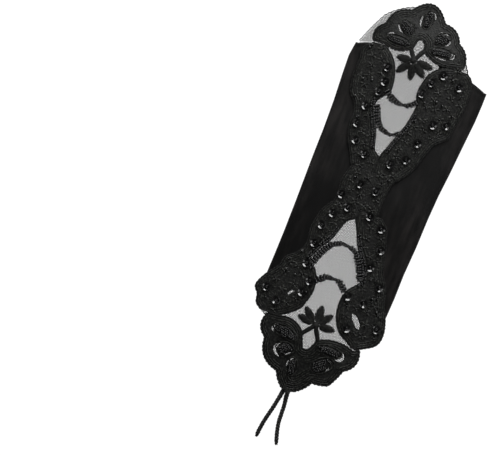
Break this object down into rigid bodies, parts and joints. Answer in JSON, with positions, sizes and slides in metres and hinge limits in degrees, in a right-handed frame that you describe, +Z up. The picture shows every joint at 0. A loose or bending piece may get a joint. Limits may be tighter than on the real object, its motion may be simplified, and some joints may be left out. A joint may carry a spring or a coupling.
{
  "type": "evening mitten",
  "caption": "Fingerless satin sleeve open at both ends, with sheer net in its V cuts, scalloped lace crests, bead strings, cup sequins and two cord tails.",
  "frame": {"origin": "middle of the underside of the lying mitten, without its cord tails", "axes": "+Y towards the arm end, +X to the right seen from above, +Z up from the surface that it lies on"},
  "size_m": [0.1, 0.3079, 0.0131],
  "materials": {
    "satin": "black satin with a soft sheen",
    "net": "sheer black net",
    "lace": "dull black corded lace",
    "seed_bead": "glossy black glass beads",
    "sequin": "glossy black cups",
    "cord": "twisted black cord"
  },
  "bodies": {
    "root": {"satin_sleeve": "satin", "net_front_arm": "net", "net_front_hand": "net", "net_back_arm": "net", "net_back_hand": "net", "lace_crest_arm": "lace", "lace_crest_hand": "lace", "lace_arm_left": "lace", "lace_arm_right": "lace", "lace_hand_left": "lace", "lace_hand_right": "lace", "lace_medallion": "lace", "leaf_flower_arm": "lace", "leaf_flower_hand": "lace", "bead_swag_arm_outer": "seed_bead", "bead_swag_arm_inner": "seed_bead", "bead_swag_hand_inner": "seed_bead", "bead_swag_hand_outer": "seed_bead", "sequin_arm_left_1": "sequin", "sequin_arm_left_2": "sequin", "sequin_arm_left_3": "sequin", "sequin_arm_left_4": "sequin", "sequin_arm_left_5": "sequin", "sequin_arm_left_6": "sequin", "sequin_arm_left_7": "sequin", "sequin_arm_right_1": "sequin", "sequin_arm_right_2": "sequin", "sequin_arm_right_3": "sequin", "sequin_arm_right_4": "sequin", "sequin_arm_right_5": "sequin", "sequin_arm_right_6": "sequin", "sequin_arm_right_7": "sequin", "sequin_arm_right_8": "sequin", "sequin_arm_right_9": "sequin", "sequin_middle_1": "sequin", "sequin_middle_2": "sequin", "sequin_middle_3": "sequin", "sequin_middle_4": "sequin", "sequin_hand_left_1": "sequin", "sequin_hand_left_2": "sequin", "sequin_hand_left_3": "sequin", "sequin_hand_left_4": "sequin", "sequin_hand_left_5": "sequin", "sequin_hand_left_6": "sequin", "sequin_hand_left_7": "sequin", "sequin_hand_left_8": "sequin", "sequin_hand_right_1": "sequin", "sequin_hand_right_2": "sequin", "sequin_hand_right_3": "sequin", "sequin_hand_right_4": "sequin", "sequin_hand_right_5": "sequin", "sequin_hand_right_6": "sequin", "sequin_hand_right_7": "sequin", "sequin_hand_right_8": "sequin", "sequin_hand_right_9": "sequin", "cord_left": "cord", "cord_right": "cord"}
  },
  "joints": []
}
